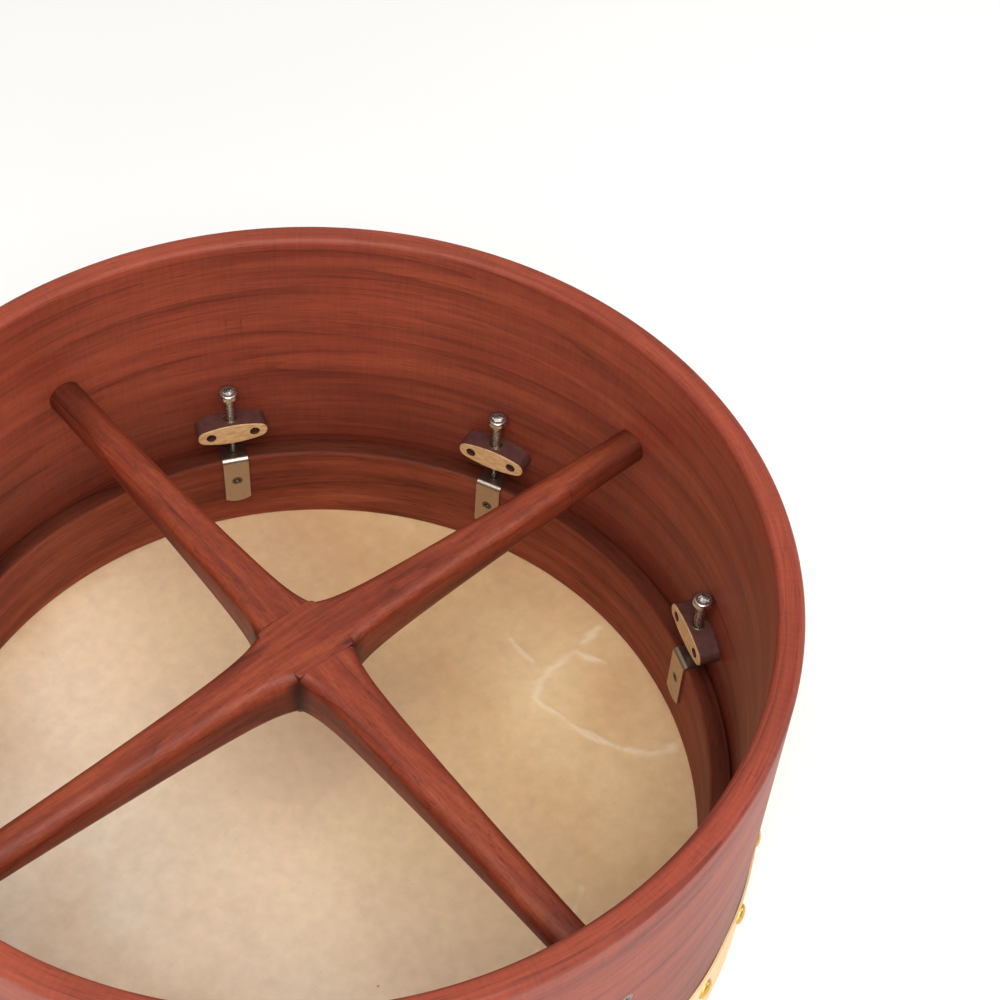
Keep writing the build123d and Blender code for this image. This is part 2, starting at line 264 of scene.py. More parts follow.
def bending_marks(tree, shade, ribs):
    """The shade times a rib that swings by the share ribs, and times the checks, which are darker."""
    unrolled = add_node(tree, "ShaderNodeUVMap", uv_map="surface")
    upright = add_node(
        tree, "ShaderNodeMapping", {"Vector": unrolled.outputs["UV"], "Scale": (1.0, 0.07, 1.0)}
    )
    folds = add_node(
        tree, "ShaderNodeTexNoise", {"Vector": upright.outputs["Vector"], "Scale": 1 / RIB, "Detail": 3.0}
    )
    rib = add_node(
        tree, "ShaderNodeMapRange", {0: folds.outputs["Fac"], 1: 0.35, 2: 0.65, 3: 1 - ribs, 4: 1 + ribs}
    )
    ribbed = add_node(
        tree, "ShaderNodeMath", {0: shade.outputs[0], 1: rib.outputs[0]}, operation="MULTIPLY"
    )
    check = add_node(
        tree, "ShaderNodeMapRange", {0: folds.outputs["Fac"], 1: 0.29, 2: 0.24, 3: 1.0, 4: 0.6}
    )
    return add_node(
        tree, "ShaderNodeMath", {0: ribbed.outputs[0], 1: check.outputs[0]}, operation="MULTIPLY"
    )


print("blotches are about", round(BLOTCH / MM), "mm across")

# %% [markdown]
# One function puts these together. Each part of the drum has its own darker places, real stain on the ring's
# sawn edge and painted shade on the hoop and the bars, so that part of the shader is handed in as a function
# of its own.

# %% Stained wood
def stained_wood(
    name, stretch, tones, stain_and_painted_shade, bent=True, rings=9.0, band=9.0, gloss=0.25, coat=0.0, ribs=0.0, ruddy=0.3
):
    """Red-stained, oiled hardwood. A function handed in adds nodes for the share left: real stain on the
    ring, painted shade on the hoop and the bars.
    """
    values = {"Roughness": 0.5, "Specular IOR Level": gloss, "Coat Weight": coat, "Coat Roughness": 0.26}
    material, tree, shader = new_material(name, values)
    place = add_node(tree, "ShaderNodeTexCoord")
    along = along_the_grain(tree, place, stretch, bent)
    colour, fibres = figure(tree, along, tones, rings, band)
    colour, shade = unevenly_stained(tree, place, colour, fibres, ruddy)
    if ribs:
        shade = bending_marks(tree, shade, ribs)
    # The part's own darkening: real stain on the ring, painted shade on the hoop and the bars.
    left = stain_and_painted_shade(tree, place)
    shade = add_node(
        tree, "ShaderNodeMath", {0: shade.outputs[0], 1: left.outputs[0]}, operation="MULTIPLY"
    )
    tinted = add_node(
        tree, "ShaderNodeVectorMath", {0: colour, "Scale": shade.outputs[0]}, operation="SCALE"
    )
    tree.links.new(tinted.outputs["Vector"], shader.inputs["Base Color"])
    bump = add_node(tree, "ShaderNodeBump", {"Height": fibres, "Strength": 0.5, "Distance": 0.15 * MM})
    tree.links.new(bump.outputs["Normal"], shader.inputs["Normal"])
    return material


def painted_shade_low_on_wall(tree, place):
    """Painted shade: the hoop is darkest low down, where the ring and the rest of the hoop keep light off it.
    """
    height = add_node(tree, "ShaderNodeSeparateXYZ", {"Vector": place.outputs["Object"]})
    limits = {0: height.outputs["Z"], 1: 45 * MM, 2: 105 * MM, 3: 0.66, 4: 1.0}
    return add_node(tree, "ShaderNodeMapRange", limits)


def on_the_sawn_edge(tree, place):
    """The ring's sawn top edge drinks more stain than its planed faces."""
    upward = add_node(tree, "ShaderNodeSeparateXYZ", {"Vector": place.outputs["Normal"]})
    limits = {0: upward.outputs["Z"], 1: 0.5, 2: 0.95, 3: 1.0, 4: 0.42}
    return add_node(tree, "ShaderNodeMapRange", limits)


print("stained_wood() is ready")

# %% [markdown]
# The bars get painted shade in the four inner corners of their crossing, but only on their sides, and near
# the hoop, where the parts meet and keep light off each other. All four corners lie at the same place once x
# and y lose their signs, so one distance serves them all.

# %% Painted shade in the corners
CORNER = 14.6 * MM
CORNER_SHADE_REACH = 8 * MM
HOOP_INSIDE = 191.9 * MM
END_SHADE_REACH = 45 * MM


def painted_shade_in_corners(tree, place):
    """Painted shade, as the share of light left: less near a corner, on faces that look sideways, and less
    again near the hoop.
    """
    mirrored = add_node(tree, "ShaderNodeVectorMath", {0: place.outputs["Object"]}, operation="ABSOLUTE")
    flat = add_node(
        tree,
        "ShaderNodeVectorMath",
        {0: mirrored.outputs["Vector"], 1: (1.0, 1.0, 0.0)},
        operation="MULTIPLY",
    )
    corner = add_node(
        tree,
        "ShaderNodeVectorMath",
        {0: flat.outputs["Vector"], 1: (CORNER, CORNER, 0.0)},
        operation="DISTANCE",
    )
    near = add_node(
        tree,
        "ShaderNodeMapRange",
        {0: corner.outputs["Value"], 1: 0.5 * MM, 2: CORNER_SHADE_REACH, 3: 0.8, 4: 0.0},
        interpolation_type="SMOOTHSTEP",
    )
    normal = add_node(tree, "ShaderNodeVectorMath", {0: place.outputs["Normal"]}, operation="ABSOLUTE")
    parts = add_node(tree, "ShaderNodeSeparateXYZ", {"Vector": normal.outputs["Vector"]})
    side = add_node(tree, "ShaderNodeMapRange", {0: parts.outputs["Z"], 1: 0.2, 2: 0.8, 3: 1.0, 4: 0.0})
    # The painted shade in a corner falls on side faces only.
    corner_shade = add_node(tree, "ShaderNodeMath", {0: near.outputs[0], 1: side.outputs[0]}, operation="MULTIPLY")
    light_left_by_corners = add_node(tree, "ShaderNodeMath", {0: 1.0, 1: corner_shade.outputs[0]}, operation="SUBTRACT")
    # Painted shade towards the hoop, where each bar's end meets the wall.
    reach = add_node(tree, "ShaderNodeVectorMath", {0: flat.outputs["Vector"]}, operation="LENGTH")
    limits = {0: reach.outputs["Value"], 1: HOOP_INSIDE - END_SHADE_REACH, 2: HOOP_INSIDE, 3: 1.0, 4: 0.48}
    end = add_node(tree, "ShaderNodeMapRange", limits)
    return add_node(
        tree, "ShaderNodeMath", {0: light_left_by_corners.outputs[0], 1: end.outputs[0]}, operation="MULTIPLY"
    )


print("corners of the crossing lie", round(CORNER / MM, 1), "mm out along each bar")

# %% [markdown]
# Each set of tones runs from the line of the grain through dark and middle to light. The stretch is
# below one along the grain: a bar's grain runs along its own axis, and a hoop's runs round it.

# %% The four woods
hoop_tones = ("#461912", "#783022", "#8C3E2B", "#9A4931")
ring_tones = ("#3A1610", "#652D1E", "#843F2A", "#9A533A")
bar_tones = ("#35130B", "#622616", "#7C331E", "#93462A")
# The hoop and the bars get painted shade. The ring gets a real darker stain on its sawn edge.
hoop_wood = stained_wood(
    "stained_hoop_hardwood", (0.035, 0.035, 1.0), hoop_tones, painted_shade_low_on_wall, coat=0.04, ribs=0.06
)
ring_wood = stained_wood(
    "stained_ring_hardwood", (0.06, 0.06, 1.0), ring_tones, on_the_sawn_edge, rings=12.0, gloss=0.12
)
bar_finish = {"bent": False, "rings": 7.0, "band": 6.0, "coat": 0.13, "ribs": 0.05, "ruddy": 0.25}
long_grain, cross_grain = (0.09, 1.0, 1.0), (1.0, 0.09, 1.0)
long_bar_wood = stained_wood("stained_long_bar", long_grain, bar_tones, painted_shade_in_corners, **bar_finish)
cross_bar_wood = stained_wood("stained_cross_bar", cross_grain, bar_tones, painted_shade_in_corners, **bar_finish)
print("stained woods:", hoop_wood.name, ring_wood.name, long_bar_wood.name, cross_bar_wood.name)

# %% [markdown]
# ## Lug wood
# Each lug was stained before its face was sanded flat, so the face shows bare pale beech and the
# sides keep a dark purple-brown. The shader tells the two apart by comparing the surface normal
# with the direction out from the drum's axis: only the sanded face points straight back at the axis.

# %% Lug wood
values = {"Roughness": 0.55, "Specular IOR Level": 0.3}
lug_wood, tree, shader = new_material("beech_lug_bare_face", values)
place = add_node(tree, "ShaderNodeTexCoord")
flat = add_node(
    tree,
    "ShaderNodeVectorMath",
    {0: place.outputs["Object"], 1: (1.0, 1.0, 0.0)},
    operation="MULTIPLY",
)
outward = add_node(tree, "ShaderNodeVectorMath", {0: flat.outputs["Vector"]}, operation="NORMALIZE")
facing = add_node(
    tree,
    "ShaderNodeVectorMath",
    {0: outward.outputs["Vector"], 1: place.outputs["Normal"]},
    operation="DOT_PRODUCT",
)
bare = add_node(
    tree, "ShaderNodeMapRange", {0: facing.outputs["Value"], 1: -0.35, 2: -0.75, 3: 0.0, 4: 1.0}
)
grain = add_node(
    tree, "ShaderNodeMapping", {"Vector": place.outputs["Object"], "Scale": (0.25, 0.25, 1.0)}
)
streaks = add_node(
    tree,
    "ShaderNodeTexNoise",
    {"Vector": grain.outputs["Vector"], "Scale": 1 / (1.1 * MM), "Detail": 4.0, "Distortion": 0.4},
)
pale = add_node(
    tree,
    "ShaderNodeValToRGB",
    {"Fac": streaks.outputs["Fac"]},
    stops=[(0.28, "#B98C5E"), (0.75, "#E3C091"), (0.50, "#D3AA79")],
)
stained = add_node(
    tree,
    "ShaderNodeValToRGB",
    {"Fac": streaks.outputs["Fac"]},
    stops=[(0.30, "#4E2B26"), (0.70, "#5C3832")],
)
mixed = add_node(
    tree,
    "ShaderNodeMix",
    {0: bare.outputs[0], 6: stained.outputs["Color"], 7: pale.outputs["Color"]},
    data_type="RGBA",
)
tree.links.new(mixed.outputs[2], shader.inputs["Base Color"])
bump = add_node(
    tree, "ShaderNodeBump", {"Height": streaks.outputs["Fac"], "Strength": 0.3, "Distance": 0.1 * MM}
)
tree.links.new(bump.outputs["Normal"], shader.inputs["Normal"])
print("lug wood:", lug_wood.name)

# %% [markdown]
# ## Goatskin
# Scraped goatskin is cream where it is thin and tan where it is thick, in clouds some centimetres
# across. A noise picks the tone of each cloud from two ramps, one pinkish and one yellow. Light
# enters the skin a millimetre or two, which subsurface scattering gives.

# %% Goatskin colour
values = {"Roughness": 0.58, "Subsurface Weight": 0.12, "Subsurface Scale": 1.5 * MM}
values["Subsurface Radius"] = (1.0, 0.6, 0.35)
goatskin, tree, shader = new_material("goatskin_rawhide", values)
place = add_node(tree, "ShaderNodeTexCoord")
clouds = add_node(
    tree,
    "ShaderNodeTexNoise",
    {"Vector": place.outputs["Object"], "Scale": 1 / (85 * MM), "Detail": 5.0, "Roughness": 0.55},
)
pink_side = add_node(
    tree,
    "ShaderNodeValToRGB",
    {"Fac": clouds.outputs["Fac"]},
    stops=[(0.30, "#E4C8A8"), (0.72, "#FDEFD8"), (0.50, "#F5DEC0")],
)
yellow_side = add_node(
    tree,
    "ShaderNodeValToRGB",
    {"Fac": clouds.outputs["Fac"]},
    stops=[(0.30, "#CCA06F"), (0.72, "#E9C995"), (0.50, "#DDB783")],
)
# The spine lay along one side of this head, where the hide is thicker and yellower.
across_hide = add_node(tree, "ShaderNodeSeparateXYZ", {"Vector": place.outputs["Object"]})
drift = add_node(
    tree,
    "ShaderNodeMath",
    {0: clouds.outputs["Fac"], 1: 0.25, 2: across_hide.outputs["X"]},
    operation="MULTIPLY_ADD",
)
spine = add_node(tree, "ShaderNodeMapRange", {0: drift.outputs[0], 1: 0.05, 2: 0.21, 3: 0.0, 4: 0.9})
# It is yellower too in a band towards the ring.
across_head = add_node(
    tree, "ShaderNodeVectorMath", {0: place.outputs["Object"], 1: (1.0, 1.0, 0.0)}, operation="MULTIPLY"
)
reach = add_node(tree, "ShaderNodeVectorMath", {0: across_head.outputs["Vector"]}, operation="LENGTH")
yellower_towards_ring = add_node(
    tree, "ShaderNodeMapRange", {0: reach.outputs["Value"], 1: 150 * MM, 2: 182 * MM, 3: 0.0, 4: 0.6}
)
yellow = add_node(tree, "ShaderNodeMath", {0: spine.outputs[0], 1: yellower_towards_ring.outputs[0]}, operation="MAXIMUM")
hide = add_node(
    tree,
    "ShaderNodeMix",
    {0: yellow.outputs[0], 6: pink_side.outputs["Color"], 7: yellow_side.outputs["Color"]},
    data_type="RGBA",
)
print("skin tones:", len(tree.nodes), "nodes so far")

# %% [markdown]
# On top come a leathery mottle, dark hair roots, a few larger scars, and pale veins that stand up
# slightly. The veins are in the mesh, with an attribute called vein that says how far up a vein each
# point is, so the shader paints exactly what the geometry raises.

# %% Goatskin marks
mottle = add_node(
    tree,
    "ShaderNodeTexNoise",
    {"Vector": place.outputs["Object"], "Scale": 1 / (7 * MM), "Detail": 6.0, "Roughness": 0.62},
)
patchy = add_node(
    tree, "ShaderNodeMapRange", {0: mottle.outputs["Fac"], 1: 0.3, 2: 0.7, 3: 0.93, 4: 1.06}
)
follicles = add_node(
    tree, "ShaderNodeTexVoronoi", {"Vector": place.outputs["Object"], "Scale": 1 / (5.5 * MM)}
)
spots = add_node(
    tree, "ShaderNodeMapRange", {0: follicles.outputs["Distance"], 1: 0.03, 2: 0.09, 3: 0.82, 4: 1.0}
)
scars = add_node(
    tree, "ShaderNodeTexVoronoi", {"Vector": place.outputs["Object"], "Scale": 1 / (38 * MM)}
)
scar = add_node(
    tree, "ShaderNodeMapRange", {0: scars.outputs["Distance"], 1: 0.009, 2: 0.022, 3: 0.35, 4: 1.0}
)
dotted = add_node(tree, "ShaderNodeMath", {0: spots.outputs[0], 1: scar.outputs[0]}, operation="MULTIPLY")
worn = add_node(tree, "ShaderNodeMath", {0: patchy.outputs[0], 1: dotted.outputs[0]}, operation="MULTIPLY")
shaded = add_node(
    tree, "ShaderNodeVectorMath", {0: hide.outputs[2], "Scale": worn.outputs[0]}, operation="SCALE"
)
vein = add_node(tree, "ShaderNodeAttribute", attribute_name="vein")
veined = add_node(
    tree,
    "ShaderNodeMix",
    {0: vein.outputs["Fac"], 6: shaded.outputs["Vector"], 7: tone("#FBEFD2")},
    data_type="RGBA",
)
tree.links.new(veined.outputs[2], shader.inputs["Base Color"])
bump = add_node(
    tree, "ShaderNodeBump", {"Height": mottle.outputs["Fac"], "Strength": 0.25, "Distance": 0.4 * MM}
)
tree.links.new(bump.outputs["Normal"], shader.inputs["Normal"])
print("skin:", goatskin.name, "with", len(tree.nodes), "nodes")

# %% [markdown]
# ## Metals
# The straps are brushed mild steel, the bolts stainless steel, the screws zinc plated and blackened,
# and the inserts and tacks brass. A metal's colour is its reflection, so its base colour is only a
# tint, and its look comes from roughness. Handling leaves the roughness uneven, which one noise does
# for all of them. The strap's noise is stretched upwards, as brush scratches run along its leg.

# %% Metals
def worn_metal(name, colour, smooth, rough, grit, scratch=(1.0, 1.0, 1.0), depth=0.02):
    """A handled metal: roughness wanders between two values, and grit in mm sets the scratches."""
    material, tree, shader = new_material(name, {"Metallic": 1.0, "Base Color": tone(colour)})
    place = add_node(tree, "ShaderNodeTexCoord")
    brushed = add_node(tree, "ShaderNodeMapping", {"Vector": place.outputs["Object"], "Scale": scratch})
    fine = add_node(
        tree,
        "ShaderNodeTexNoise",
        {"Vector": brushed.outputs["Vector"], "Scale": 1 / (grit * MM), "Detail": 3.0, "Roughness": 0.6},
    )
    dull = add_node(tree, "ShaderNodeMapRange", {0: fine.outputs["Fac"], 1: 0.3, 2: 0.7, 3: smooth, 4: rough})
    tree.links.new(dull.outputs[0], shader.inputs["Roughness"])
    bump = add_node(
        tree, "ShaderNodeBump", {"Height": fine.outputs["Fac"], "Strength": 0.4, "Distance": depth * MM}
    )
    tree.links.new(bump.outputs["Normal"], shader.inputs["Normal"])
    return material


strap_steel = worn_metal("brushed_strap_steel", "#B8A898", 0.24, 0.42, 0.25, (1.0, 1.0, 0.06), 0.03)
bolt_steel = worn_metal("stainless_bolt_steel", "#C0BCB6", 0.18, 0.34, 0.8)
zinc_screw = worn_metal("blackened_zinc_screw", "#6A655C", 0.20, 0.40, 0.6)
brass_insert = worn_metal("dull_brass_insert", "#9A9468", 0.30, 0.48, 0.6)
brass_tack = worn_metal("domed_brass_tack", "#C8A24E", 0.20, 0.38, 1.2)
print("metals:", strap_steel.name, bolt_steel.name, zinc_screw.name, brass_insert.name, brass_tack.name)

# %% [markdown]
# ## Helpers for surfaces
# Every new piece is a grid of points: rows one way, columns the other. Columns always close on
# themselves, because each piece here runs round an axis or round a bar. Rows either close too, as on
# a hoop's wall, or end in a cap. Index arithmetic on whole arrays turns the grid into faces, and the
# sign of the volume they enclose tells whether they point outwards.

# %% Grid to faces
def grid_faces(points, closed_rows):
    """Vertices and faces of a (rows, columns, 3) grid, with a fan to the middle of each open end."""
    rows, columns = points.shape[:2]
    number = np.arange(rows * columns).reshape(rows, columns)
    down = np.roll(number, -1, 0) if closed_rows else number[1:]
    here = number if closed_rows else number[:-1]
    quads = np.stack([here, np.roll(here, -1, 1), np.roll(down, -1, 1), down], -1).reshape(-1, 4)
    vertices = points.reshape(-1, 3)
    fans = []
    if not closed_rows:
        middles = np.array([points[0].mean(0), points[-1].mean(0)])
        vertices = np.vstack([vertices, middles])
        first, last = number[0], number[-1]
        fans.append(np.stack([np.full(columns, rows * columns), np.roll(first, -1), first], -1))
        fans.append(np.stack([np.full(columns, rows * columns + 1), last, np.roll(last, -1)], -1))
    corners = vertices[quads]
    swept = np.cross(corners[:, 2] - corners[:, 0], corners[:, 3] - corners[:, 1])
    volume = (corners.mean(1) * swept).sum() / 6
    faces = quads.tolist() + [f for fan in fans for f in fan.tolist()]
    if volume < 0:
        faces = [face[::-1] for face in faces]
    return vertices, faces


print("grid_faces() is ready")

# %% [markdown]
# A piece is then a mesh with smooth shading, except at edges sharper than an angle. It rides on a
# body of the frame, when one is given, and gets its material. Numbers for each point go in as attributes,
# and a UV map in metres unrolls the surface for patterns that follow it.

# %% Faces to a piece
def surface(name, points, body, material, closed_rows=False, attributes=None, sharp=30):
    """A piece made of a grid in metres. Edges turn sharp beyond an angle of sharp degrees."""
    vertices, faces = grid_faces(points, closed_rows)
    mesh = bpy.data.meshes.new(name)
    mesh.from_pydata(vertices.tolist(), [], faces)
    mesh.polygons.foreach_set("use_smooth", np.ones(len(faces), bool))
    mesh.set_sharp_from_angle(angle=radians(sharp))
    for key, data in (attributes or {}).items():
        layer = mesh.attributes.new(key, "FLOAT", "POINT")
        padded = np.zeros(len(vertices), np.float32)
        padded[: data.size] = data.ravel()
        layer.data.foreach_set("value", padded)
    mesh.materials.append(material)
    piece = bpy.data.objects.new(name, mesh)
    bpy.context.scene.collection.objects.link(piece)
    if body:
        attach(piece, body)
    return piece


def unroll(piece, across, up):
    """UV map called surface: each vertex's distance round and along the piece, in metres."""
    mesh = piece.data
    layer = mesh.uv_layers.new(name="surface")
    index = np.zeros(len(mesh.loops), np.int32)
    mesh.loops.foreach_get("vertex_index", index)
    flat = np.zeros((len(mesh.vertices), 2))
    flat[: across.size, 0] = across.ravel()
    flat[: up.size, 1] = up.ravel()
    layer.data.foreach_set("uv", flat[index].astype(np.float32).ravel())


print("surface() and unroll() are ready")

# %% [markdown]
# ## Profiles
# Turned and bent parts are a profile carried round an axis. A profile here is a list of corners, each
# with a radius: the arc at a corner starts and ends where a circle of that radius touches both sides,
# which is radius / tan(half the corner's angle) away from the corner.

# %% Rounded profiles and lathe
def rounded(corners, radii, step, closed=True):
    """Polyline through corners with an arc at each, no longer than step between points."""
    corners = np.array(corners, float)
    runs = []
    count = len(corners)
    for i, (corner, radius) in enumerate(zip(corners, radii)):
        if radius == 0:
            runs.append(corner[None])
            continue
        back = corners[i - 1] - corner
        ahead = corners[(i + 1) % count] - corner
        back, ahead = back / np.linalg.norm(back), ahead / np.linalg.norm(ahead)
        half = np.arccos(np.clip(back @ ahead, -1, 1)) / 2
        centre = corner + (back + ahead) / np.linalg.norm(back + ahead) * radius / sin(half)
        start = corner + back * radius / tan(half) - centre
        end = corner + ahead * radius / tan(half) - centre
        swing = pi - 2 * half
        share = np.linspace(0, 1, max(4, int(swing / radians(12)) + 1))[:, None]
        arc = (np.sin((1 - share) * swing) * start + np.sin(share * swing) * end) / sin(swing)
        runs.append(centre + arc)
    path = np.vstack(runs)
    if closed:
        path = np.vstack([path, path[:1]])
    length = np.linalg.norm(np.diff(path, axis=0), axis=1)
    splits = np.maximum(1, np.ceil(length / step)).astype(int)
    pieces = [
        a + (b - a) * np.arange(n)[:, None] / n for a, b, n in zip(path[:-1], path[1:], splits)
    ]
    return np.vstack(pieces + ([] if closed else [path[-1:]]))


def lathe(profile, angles):
    """Grid of a (radius, height) profile at each angle: x = r cos, y = r sin, z = height."""
    r, z = profile[:, :1], profile[:, 1:]
    return np.stack([r * np.cos(angles), r * np.sin(angles), z + 0 * angles], -1)


def travelled(path):
    """Distance along a profile at each of its points."""
    return np.concatenate([[0], np.cumsum(np.linalg.norm(np.diff(path, axis=0), axis=1))])


square = rounded([(0, 0), (10, 0), (10, 10), (0, 10)], [2] * 4, 2)
print("a 10 mm square with 2 mm corners has", len(square), "points")

# %% [markdown]
# ## The hoop
# The hoop is one board, steamed and bent round a form, so its wall isn't perfectly true: it wanders
# by a tenth of a millimetre, and its oiled face shows that as soft bends in the reflections. The
# outer wall has four countersinks for the screws that hold the crossbars. They are part of the same
# grid: angles and heights are packed closer round each screw, and the wall sinks there in a cone.

# %% Sizes of the hoop
shell_low, shell_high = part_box("shell")
outer_radius = shell_high.x
wall = 11.3 * MM
inner_radius = outer_radius - wall
rim_round = 3 * MM
bar_low, bar_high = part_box("crossbar_long")
bar_height = (bar_low.z + bar_high.z) / 2
bar_skew = radians(-1.4)
bar_angles = np.array([0, pi, pi / 2 + bar_skew, 3 * pi / 2 + bar_skew])
sink_radius = 3.75 * MM
sink_depth = 2.2 * MM
print("hoop:", round(2 * outer_radius / MM, 1), "mm across,", round(shell_high.z / MM, 1), "mm high")

# %% The hoop's error
def wobble(angles, heights, size):
    """A hand-made wall's error: four slow waves of different lengths round and along it."""
    waves = np.sin(3 * angles + 0.4) + 0.7 * np.sin(5 * angles + 2.0 + 9 * heights)
    waves = waves + 0.5 * np.sin(8 * angles - 1.1 + 25 * heights)
    return size * (waves + 0.3 * np.sin(13 * angles + 40 * heights))


hoop_error = 0.05 * MM
sample = wobble(np.linspace(0, 2 * pi, 360), bar_height, hoop_error)
print("the wall wanders by", round(float(np.abs(sample).max()) / MM, 2), "mm at most")

# %% The hoop's grid, packed closer at the screws
patch = np.linspace(-4.2 * MM, 4.2 * MM, 29)
turns = np.linspace(0, 2 * pi, 240, endpoint=False)
near = patch / outer_radius
turns = np.unique(np.round(np.concatenate([turns] + [(a + near) % (2 * pi) for a in bar_angles]), 5))
profile = rounded(
    [
        (inner_radius, shell_low.z),
        (inner_radius, shell_high.z),
        (outer_radius, shell_high.z),
        (outer_radius, shell_low.z),
    ],
    [1 * MM, rim_round, rim_round, rim_round],
    6 * MM,
)
hair = 0.01 * MM
fine = bar_height - patch
split = np.argmax((profile[:, 0] > outer_radius - hair) & (profile[:, 1] < fine[0]))
below = split + np.argmax(profile[split:, 1] < fine[-1])
column = np.stack([np.full(len(fine), outer_radius), fine], -1)
profile = np.vstack([profile[:split], column, profile[below:]])
points = lathe(profile, turns)
print("hoop's grid:", points.shape[0], "by", points.shape[1], "points")

# %% Hoop
radius = np.hypot(points[..., 0], points[..., 1])
away = np.min([np.abs((turns - a + pi) % (2 * pi) - pi) for a in bar_angles], axis=0) * outer_radius
gap = np.hypot(away[None], profile[:, 1:] - bar_height)
is_outer = profile[:, :1] > outer_radius - hair
cone = np.where(is_outer, np.clip(sink_radius - gap, 0, sink_depth), 0)
# The wall is true at a bar's seat, and its error fades in from 8 to 28 mm away.
true_again = np.clip((gap - 8 * MM) / (20 * MM), 0, 1)
bowed = radius - cone + wobble(turns[None], profile[:, 1:], hoop_error) * true_again
points[..., :2] *= (bowed / radius)[..., None]
hoop = surface("hoop", points, "shell", hoop_wood, closed_rows=True)
unroll(hoop, turns[None] * outer_radius + 0 * profile[:, 1:], travelled(profile)[:, None] + 0 * turns[None])
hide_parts("shell")
print("hoop:", len(hoop.data.polygons), "faces")

# %% [markdown]
# ## The inner ring
# The ring is the same kind of board bent smaller. Its foot is rounded where the skin bends over it.

# %% Inner ring
ring_low, ring_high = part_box("tuning_ring")
ring_radius = ring_high.x
ring_wall = 9.9 * MM
profile = rounded(
    [
        (ring_radius - ring_wall, ring_low.z),
        (ring_radius - ring_wall, ring_high.z),
        (ring_radius, ring_high.z),
        (ring_radius, ring_low.z),
    ],
    [1 * MM, 2 * MM, 1 * MM, 3 * MM],
    5 * MM,
)
turns = np.linspace(0, 2 * pi, 320, endpoint=False)
points = lathe(profile, turns)
points[..., 2] += wobble(2 * turns[None], profile[:, 1:], 0.04 * MM)
ring = surface("inner_ring", points, "tuning_ring", ring_wood, closed_rows=True)
unroll(ring, turns[None] * ring_radius + 0 * profile[:, 1:], travelled(profile)[:, None] + 0 * turns[None])
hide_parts("tuning_ring")
print("inner ring:", len(ring.data.polygons), "faces")

# %% [markdown]
# ## The skin
# The skin lies flat under the ring, climbs from the ring's foot to the hoop's lower edge, and laps up
# the outside, where tacks hold it. It is one closed surface: out along the lower face, over the
# trimmed edge, and back along the upper face. The straight stretch between ring and hoop touches
# both of their rounded edges, so its slope follows from the distance between the two arcs' centres.

# %% Skin profile
skin = 1.0 * MM
vein_step = 1.3 * MM
lap_radius = outer_radius + 0.05 * MM
lap_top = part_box("head")[1].z
foot = 3 * MM
foot_centre = np.array([ring_radius - foot, ring_low.z + foot])
edge_centre = np.array([outer_radius - rim_round, shell_low.z + rim_round])
foot_bend = foot + ring_low.z - skin
edge_bend = rim_round + 0.05 * MM
span = edge_centre - foot_centre
lean = atan2(span[1], span[0]) + np.arcsin((foot_bend - edge_bend) / hypot(*span))
touch = foot_centre + np.array([sin(lean), -cos(lean)]) * foot_bend
foot_corner = touch[0] - (touch[1] - skin) / tan(lean)
edge_corner = touch[1] + (lap_radius - touch[0]) * tan(lean)
lower = rounded(
    [
        (2 * MM, 0),
        (foot_corner + skin * tan(lean / 2), 0),
        (lap_radius + skin, edge_corner - skin * tan((pi / 2 - lean) / 2)),
        (lap_radius + skin, lap_top),
    ],
    [0, foot_bend + skin, edge_bend + skin, 0],
    6 * MM,
    closed=False,
)
upper = rounded(
    [(lap_radius, lap_top), (lap_radius, edge_corner), (foot_corner, skin), (75 * MM, skin)],
    [0, edge_bend, foot_bend, 0],
    vein_step,
    closed=False,
)
centre = rounded([(72 * MM, skin), (1 * MM, skin)], [0, 0], 4 * MM, closed=False)
profile = np.vstack([lower, upper, centre])
turns = np.linspace(0, 2 * pi, 448, endpoint=False)
points = lathe(profile, turns)
print("skin's grid:", points.shape[0], "by", points.shape[1], "points")

# %% [markdown]
# The upper face is packed with points where veins stand up from it. A vein is a short polyline, in
# millimetres from the middle of the head, and the skin rises near it by a bell curve of the distance
# to it. Two sine waves bend that distance a little, so that no vein is straight. Between the veins
# the skin is slack by a tenth of a millimetre, as hide is in damp air.

# %% Veins
veins = [
    [(127, -15), (140, -14), (156, -13), (169, -11), (179, -9)],
    [(156, -13), (158, -19), (163, -27)],
    [(139, -13), (130, -16), (121, -21), (121, -27), (124, -36), (125, -48), (129, -60)],
    [(129, -60), (134, -71), (143, -82), (154, -86)],
    [(135, -4), (135, 6), (136, 13)],
    [(-92, 41), (-78, 52), (-70, 66), (-66, 84)],
    [(-78, 52), (-60, 50), (-44, 57)],
    [(22, -128), (38, -120), (52, -123), (67, -114)],
]
vein_width = 1.1 * MM
vein_height = 0.35 * MM
is_upper = (np.arange(len(profile)) >= len(lower)) & (profile[:, 0] < ring_radius - ring_wall)
raised = np.zeros(points.shape[:2])
ground = points[..., :2]
for line in veins:
    spots = np.array(line) * MM
    for a, b in zip(spots[:-1], spots[1:]):
        share = np.clip(((ground - a) @ (b - a)) / ((b - a) @ (b - a)), 0, 1)
        crook = 1.2 * MM * np.sin(ground[..., 0] / (4.3 * MM)) * np.sin(ground[..., 1] / (5.1 * MM))
        distance = np.linalg.norm(ground - a - share[..., None] * (b - a), axis=-1) + crook
        raised = np.maximum(raised, np.exp(-((distance / vein_width) ** 2)))
raised *= is_upper[:, None]
slack = 0.12 * MM * np.sin(ground[..., 0] / (23 * MM) + 1) * np.sin(ground[..., 1] / (31 * MM))
points[..., 2] += raised * vein_height + np.abs(slack) * is_upper[:, None]
print("veins:", len(veins), "lines, up to", round(float(raised.max()) * vein_height / MM, 2), "mm high")

# %% [markdown]
# The lap's edge is cut by hand, so it rises and falls by a millimetre. The skin is drawn tight at
# each tack and puckers between them, so its pleats repeat once a tack.

